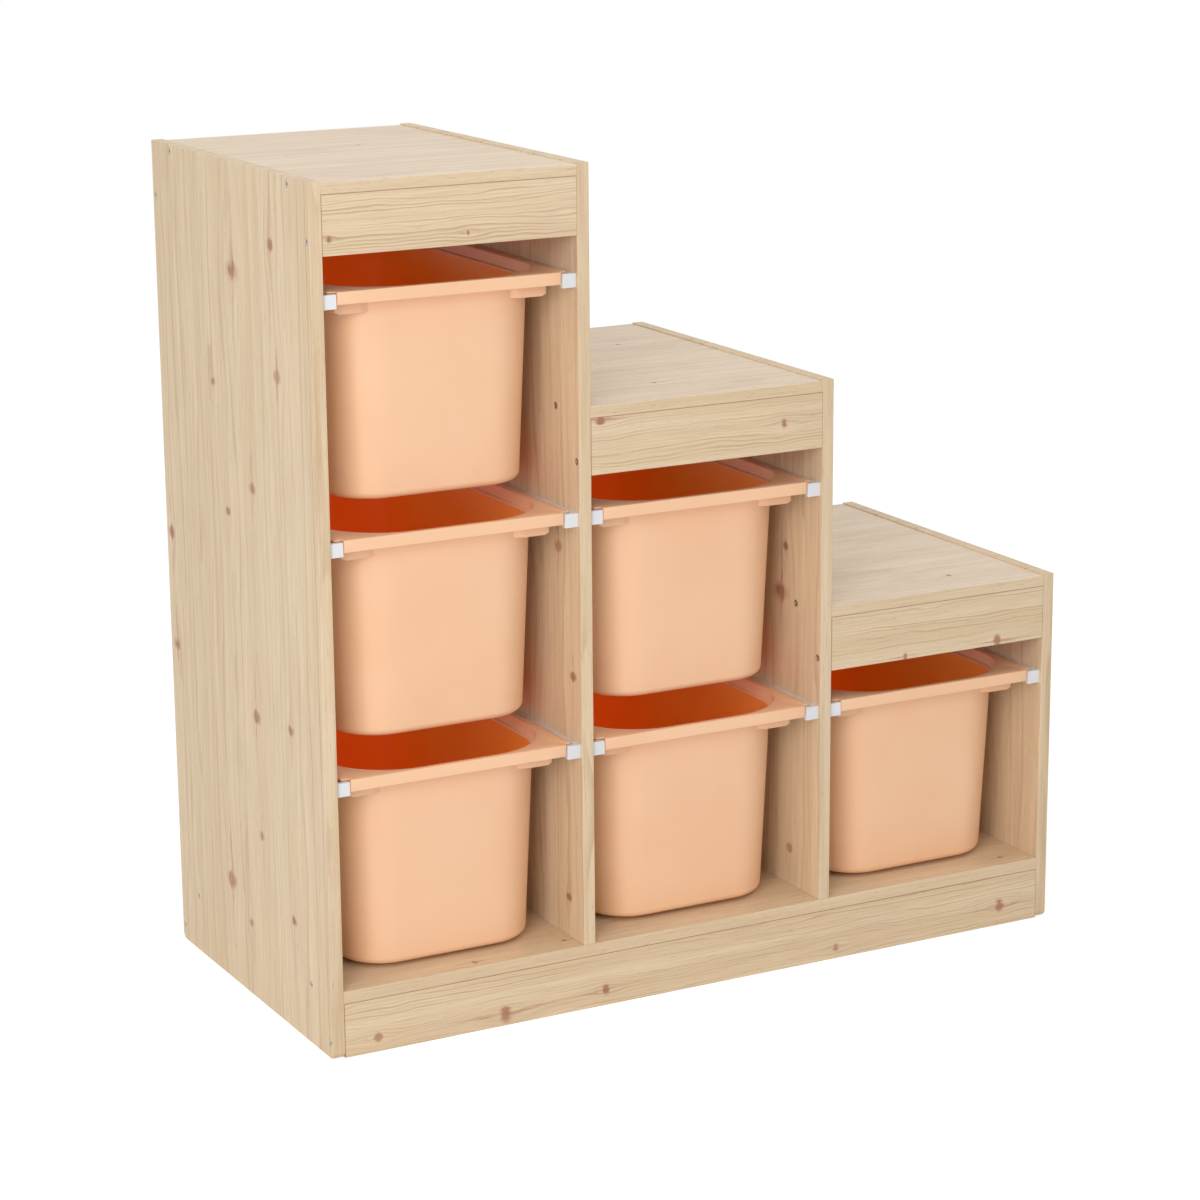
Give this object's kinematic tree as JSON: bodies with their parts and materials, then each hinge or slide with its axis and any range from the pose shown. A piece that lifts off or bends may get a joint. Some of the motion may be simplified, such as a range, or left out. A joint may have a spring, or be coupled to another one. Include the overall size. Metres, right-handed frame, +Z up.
{
  "type": "toy storage organizer",
  "caption": "Stepped light-wood storage frame with hanging tapered plastic bins that pull out forwards on plastic runners",
  "frame": {"origin": "on the floor, under the middle of the frame's width and depth", "axes": "+X from the tall end to the low end, +Y from the open front to the back, +Z up"},
  "size_m": [0.917, 0.434, 0.93],
  "materials": {
    "wood": "pale pine-look board, satin, fine vertical or lengthwise grain with small brown knots",
    "bin_plastic": "peach-orange moulded polypropylene, smooth with a soft sheen",
    "runner_plastic": "white moulded plastic, smooth",
    "screw_steel": "zinc-plated steel, dull",
    "dowel_wood": "plain beech dowel"
  },
  "bodies": {
    "frame": {"left_panel": "wood", "tall_divider": "wood", "middle_divider": "wood", "right_panel": "wood", "tall_top_board": "wood", "tall_front_apron": "wood", "tall_rear_rail": "wood", "middle_top_board": "wood", "middle_front_apron": "wood", "middle_rear_rail": "wood", "low_top_board": "wood", "low_front_apron": "wood", "low_rear_rail": "wood", "base_board": "wood", "front_plinth": "wood", "rear_plinth": "wood", "tall_left_runner_1": "runner_plastic", "tall_right_runner_1": "runner_plastic", "tall_left_runner_2": "runner_plastic", "tall_right_runner_2": "runner_plastic", "tall_left_runner_3": "runner_plastic", "tall_right_runner_3": "runner_plastic", "middle_left_runner_1": "runner_plastic", "middle_right_runner_1": "runner_plastic", "middle_left_runner_2": "runner_plastic", "middle_right_runner_2": "runner_plastic", "low_left_runner_1": "runner_plastic", "low_right_runner_1": "runner_plastic", "left_panel_screws": "screw_steel", "tall_divider_screws": "screw_steel", "middle_divider_screws": "screw_steel", "right_panel_screws": "screw_steel", "divider_foot_screws": "screw_steel", "left_panel_dowels": "dowel_wood", "tall_divider_dowels": "dowel_wood", "middle_divider_dowels": "dowel_wood", "right_panel_dowels": "dowel_wood", "divider_foot_dowels": "dowel_wood"},
    "bin_tall_1": {"tall_bin_1": "bin_plastic"},
    "bin_tall_2": {"tall_bin_2": "bin_plastic"},
    "bin_tall_3": {"tall_bin_3": "bin_plastic"},
    "bin_middle_1": {"middle_bin_1": "bin_plastic"},
    "bin_middle_2": {"middle_bin_2": "bin_plastic"},
    "bin_low_1": {"low_bin_1": "bin_plastic"}
  },
  "joints": [
    {"name": "slide_tall_1", "type": "slide", "parent": "frame", "child": "bin_tall_1", "axis": [0, -1, 0], "range_m": [0, 0.45]},
    {"name": "slide_tall_2", "type": "slide", "parent": "frame", "child": "bin_tall_2", "axis": [0, -1, 0], "range_m": [0, 0.45]},
    {"name": "slide_tall_3", "type": "slide", "parent": "frame", "child": "bin_tall_3", "axis": [0, -1, 0], "range_m": [0, 0.45]},
    {"name": "slide_middle_1", "type": "slide", "parent": "frame", "child": "bin_middle_1", "axis": [0, -1, 0], "range_m": [0, 0.45]},
    {"name": "slide_middle_2", "type": "slide", "parent": "frame", "child": "bin_middle_2", "axis": [0, -1, 0], "range_m": [0, 0.45]},
    {"name": "slide_low_1", "type": "slide", "parent": "frame", "child": "bin_low_1", "axis": [0, -1, 0], "range_m": [0, 0.45]}
  ]
}
